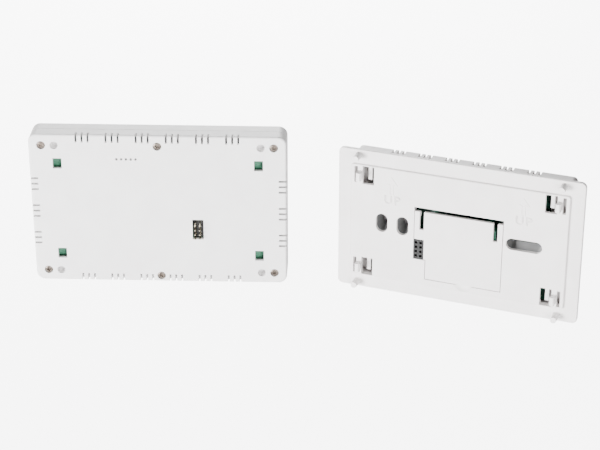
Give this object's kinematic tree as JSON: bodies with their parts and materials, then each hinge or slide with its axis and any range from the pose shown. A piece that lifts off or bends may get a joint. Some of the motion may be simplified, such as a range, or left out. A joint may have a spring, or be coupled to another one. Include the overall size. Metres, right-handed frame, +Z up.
{
  "type": "wall thermostat",
  "caption": "Wall thermostat in two halves: a screwed-on wiring base with snap hooks and a hinged terminal cover, and a display head that docks on it.",
  "frame": {"origin": "middle of the base's rear face, which lies on the wall", "axes": "+X to the right seen from the room, +Z up, +Y into the wall"},
  "size_m": [0.2894, 0.063, 0.085],
  "materials": {
    "white_abs": "moulded off-white ABS with a fine spark-eroded grain",
    "screw_steel": "grey-brown plated steel screws, cross recess",
    "circuit_board": "green solder mask over glass-epoxy laminate",
    "terminal_green": "moulded green polyamide",
    "plated_steel": "nickel-plated steel",
    "black_nylon": "black glass-filled nylon",
    "gold_contact": "gold-flashed phosphor bronze",
    "relay_case": "dark moulded relay case",
    "black_epoxy": "moulded black epoxy",
    "film_yellow": "yellow moulded box",
    "aluminium_can": "aluminium can",
    "varistor_blue": "dipped blue epoxy",
    "clear_lens": "clear acrylic, hard coated",
    "lcd_glass": "grey-green liquid crystal cell",
    "light_guide": "milky acrylic light guide",
    "silicone_strip": "conductive silicone strip",
    "sleeve_grey": "moulded mid-grey ABS sleeves",
    "button_grey": "moulded light grey ABS button caps"
  },
  "bodies": {
    "base": {"base_rear_box": "white_abs", "base_plate": "white_abs", "screw_sleeves": "sleeve_grey", "base_screws": "screw_steel", "power_board": "circuit_board", "power_board_screws": "plated_steel", "terminal_block": "terminal_green", "terminal_clamps": "plated_steel", "terminal_screws": "plated_steel", "socket_housing": "black_nylon", "socket_contacts": "gold_contact", "relay": "relay_case", "supply_module": "black_epoxy", "film_capacitor": "film_yellow", "bulk_capacitor": "aluminium_can", "fuse": "black_epoxy", "varistor": "varistor_blue"},
    "cover": {"terminal_cover": "white_abs"},
    "head": {"rear_cover": "white_abs", "front_cover": "white_abs", "case_screws": "screw_steel", "main_board": "circuit_board", "main_board_screws": "plated_steel", "lcd_panel": "lcd_glass", "display_frame": "black_nylon", "backlight": "light_guide", "display_lens": "clear_lens", "contact_strips": "silicone_strip", "header_housing": "black_nylon", "header_pins": "gold_contact", "tact_switches": "black_epoxy", "microcontroller": "black_epoxy", "sounder": "black_epoxy", "clock_cell": "plated_steel", "crystal": "plated_steel", "temperature_sensor": "black_epoxy"},
    "button_power": {"button_power": "button_grey"},
    "button_menu": {"button_menu": "button_grey"},
    "button_down": {"button_down": "button_grey"},
    "button_up": {"button_up": "button_grey"},
    "button_confirm": {"button_confirm": "button_grey"}
  },
  "joints": [
    {"name": "head_swing", "type": "hinge", "parent": "base", "child": "head", "pos_m": [-0.08, -0.0153, 0], "axis": [0, 0, 1], "range_deg": [0, 161]},
    {"name": "cover_hinge", "type": "hinge", "parent": "base", "child": "cover", "pos_m": [0.0008, -0.0132, 0.0085], "axis": [1, 0, 0], "range_deg": [-100, 0]},
    {"name": "press_power", "type": "slide", "parent": "head", "child": "button_power", "axis": [0.3256, -0.9455, 0], "range_m": [0, 0.0005], "stiffness_N_per_m": 1500},
    {"name": "press_menu", "type": "slide", "parent": "head", "child": "button_menu", "axis": [0.3256, -0.9455, 0], "range_m": [0, 0.0005], "stiffness_N_per_m": 1500},
    {"name": "press_down", "type": "slide", "parent": "head", "child": "button_down", "axis": [0.3256, -0.9455, 0], "range_m": [0, 0.0005], "stiffness_N_per_m": 1500},
    {"name": "press_up", "type": "slide", "parent": "head", "child": "button_up", "axis": [0.3256, -0.9455, 0], "range_m": [0, 0.0005], "stiffness_N_per_m": 1500},
    {"name": "press_confirm", "type": "slide", "parent": "head", "child": "button_confirm", "axis": [0.3256, -0.9455, 0], "range_m": [0, 0.0005], "stiffness_N_per_m": 1500}
  ]
}
